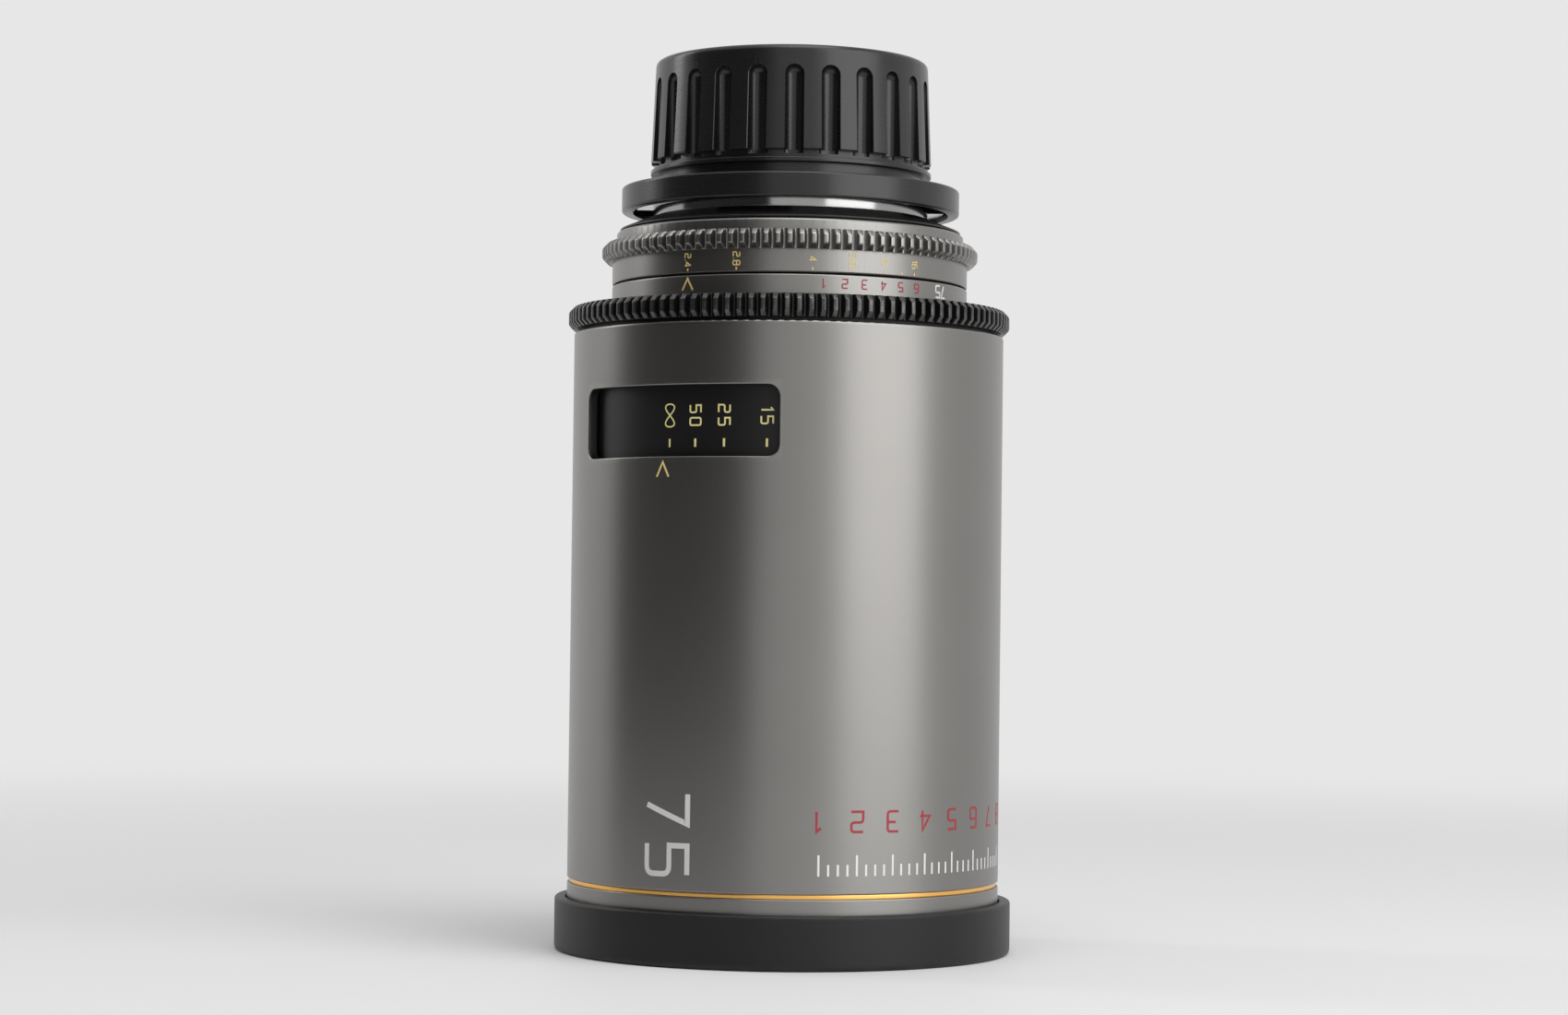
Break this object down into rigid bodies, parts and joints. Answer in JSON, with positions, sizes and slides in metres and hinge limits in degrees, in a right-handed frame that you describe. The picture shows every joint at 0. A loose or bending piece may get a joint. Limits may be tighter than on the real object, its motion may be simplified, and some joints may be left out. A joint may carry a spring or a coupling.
{
  "type": "cinema prime lens",
  "caption": "Cylindrical cinema prime lens with geared focus and iris rings, scale window, coupled focus cell and iris blades, four-tab mount and caps at both ends.",
  "frame": {"origin": "centre of the front cap's underside, on the optical axis", "axes": "+Z along the optical axis from the front toward the mount, -Y through the index marks"},
  "size_m": [0.1004, 0.1004, 0.1959],
  "materials": {
    "titanium_grey": "satin dark grey anodised",
    "black_anodised": "matt black anodised",
    "accent_gold": "satin gold anodised",
    "polished_steel": "polished",
    "screw_steel": "plain",
    "blade_steel": "matt black",
    "brass": "machined",
    "cap_plastic": "satin black moulded",
    "coated_glass": "coated and polished"
  },
  "bodies": {
    "barrel": {"front_bezel": "titanium_grey", "accent_ring": "accent_gold", "outer_sleeve": "titanium_grey", "main_barrel": "black_anodised", "front_cell": "black_anodised", "front_element": "coated_glass", "front_retaining_ring": "black_anodised", "middle_element": "coated_glass", "middle_retaining_ring": "black_anodised", "focus_retaining_ring": "screw_steel", "index_ring": "titanium_grey", "rear_housing": "black_anodised", "housing_screws": "screw_steel", "iris_retaining_ring": "black_anodised", "iris_base_plate": "black_anodised", "rear_cell": "black_anodised", "rear_front_element": "coated_glass", "rear_spacer": "black_anodised", "rear_back_element": "coated_glass", "rear_retaining_ring": "black_anodised", "rear_collar": "black_anodised", "mount_shim": "screw_steel", "lens_mount": "polished_steel", "mount_screws": "screw_steel"},
    "focus": {"focus_ring": "black_anodised", "scale_drum": "black_anodised", "cam_sleeve": "brass", "drum_screws": "screw_steel"},
    "focus_group": {"focus_cell": "black_anodised", "focus_front_element": "coated_glass", "focus_spacer": "black_anodised", "focus_crown_element": "coated_glass", "focus_flint_element": "coated_glass", "focus_cell_ring": "black_anodised", "cam_followers": "brass"},
    "iris": {"iris_ring": "titanium_grey", "iris_drive_pin": "screw_steel", "iris_cam_ring": "brass"},
    "blade_1": {"iris_blade_1": "blade_steel"},
    "blade_2": {"iris_blade_2": "blade_steel"},
    "blade_3": {"iris_blade_3": "blade_steel"},
    "blade_4": {"iris_blade_4": "blade_steel"},
    "blade_5": {"iris_blade_5": "blade_steel"},
    "blade_6": {"iris_blade_6": "blade_steel"},
    "blade_7": {"iris_blade_7": "blade_steel"},
    "blade_8": {"iris_blade_8": "blade_steel"},
    "front_cap": {"front_cap": "cap_plastic"},
    "rear_cap": {"rear_cap": "cap_plastic"}
  },
  "joints": [
    {"name": "focus_turn", "type": "hinge", "parent": "barrel", "child": "focus", "pos_m": [0, 0, 0.13845], "axis": [0, 0, -1], "range_deg": [0, 157]},
    {"name": "focus_slide", "type": "slide", "parent": "barrel", "child": "focus_group", "axis": [0, 0, -1], "range_m": [0, 0.01]},
    {"name": "iris_turn", "type": "hinge", "parent": "barrel", "child": "iris", "pos_m": [0, 0, 0.1518], "axis": [0, 0, -1], "range_deg": [0, 78]},
    {"name": "blade_1_pivot", "type": "hinge", "parent": "barrel", "child": "blade_1", "pos_m": [0.0255, 0, 0.1494], "axis": [0, 0, 1], "range_deg": [0, 32]},
    {"name": "blade_2_pivot", "type": "hinge", "parent": "barrel", "child": "blade_2", "pos_m": [0.01803, 0.01803, 0.1494], "axis": [0, 0, 1], "range_deg": [0, 32]},
    {"name": "blade_3_pivot", "type": "hinge", "parent": "barrel", "child": "blade_3", "pos_m": [0, 0.0255, 0.1494], "axis": [0, 0, 1], "range_deg": [0, 32]},
    {"name": "blade_4_pivot", "type": "hinge", "parent": "barrel", "child": "blade_4", "pos_m": [-0.01803, 0.01803, 0.1494], "axis": [0, 0, 1], "range_deg": [0, 32]},
    {"name": "blade_5_pivot", "type": "hinge", "parent": "barrel", "child": "blade_5", "pos_m": [-0.0255, 0, 0.1494], "axis": [0, 0, 1], "range_deg": [0, 32]},
    {"name": "blade_6_pivot", "type": "hinge", "parent": "barrel", "child": "blade_6", "pos_m": [-0.01803, -0.01803, 0.1494], "axis": [0, 0, 1], "range_deg": [0, 32]},
    {"name": "blade_7_pivot", "type": "hinge", "parent": "barrel", "child": "blade_7", "pos_m": [0, -0.0255, 0.1494], "axis": [0, 0, 1], "range_deg": [0, 32]},
    {"name": "blade_8_pivot", "type": "hinge", "parent": "barrel", "child": "blade_8", "pos_m": [0.01803, -0.01803, 0.1494], "axis": [0, 0, 1], "range_deg": [0, 32]},
    {"name": "front_cap_pull", "type": "slide", "parent": "barrel", "child": "front_cap", "axis": [0, 0, -1], "range_m": [0, 0.06]},
    {"name": "rear_cap_pull", "type": "slide", "parent": "barrel", "child": "rear_cap", "axis": [0, 0, 1], "range_m": [0, 0.05]}
  ],
  "couplings": [
    {"joint": "focus_slide", "follows": "focus_turn", "m_per_rad": 0.0036493},
    {"joint": "blade_1_pivot", "follows": "iris_turn", "ratio": 0.41025},
    {"joint": "blade_2_pivot", "follows": "iris_turn", "ratio": 0.41025},
    {"joint": "blade_3_pivot", "follows": "iris_turn", "ratio": 0.41025},
    {"joint": "blade_4_pivot", "follows": "iris_turn", "ratio": 0.41025},
    {"joint": "blade_5_pivot", "follows": "iris_turn", "ratio": 0.41025},
    {"joint": "blade_6_pivot", "follows": "iris_turn", "ratio": 0.41025},
    {"joint": "blade_7_pivot", "follows": "iris_turn", "ratio": 0.41025},
    {"joint": "blade_8_pivot", "follows": "iris_turn", "ratio": 0.41025}
  ]
}
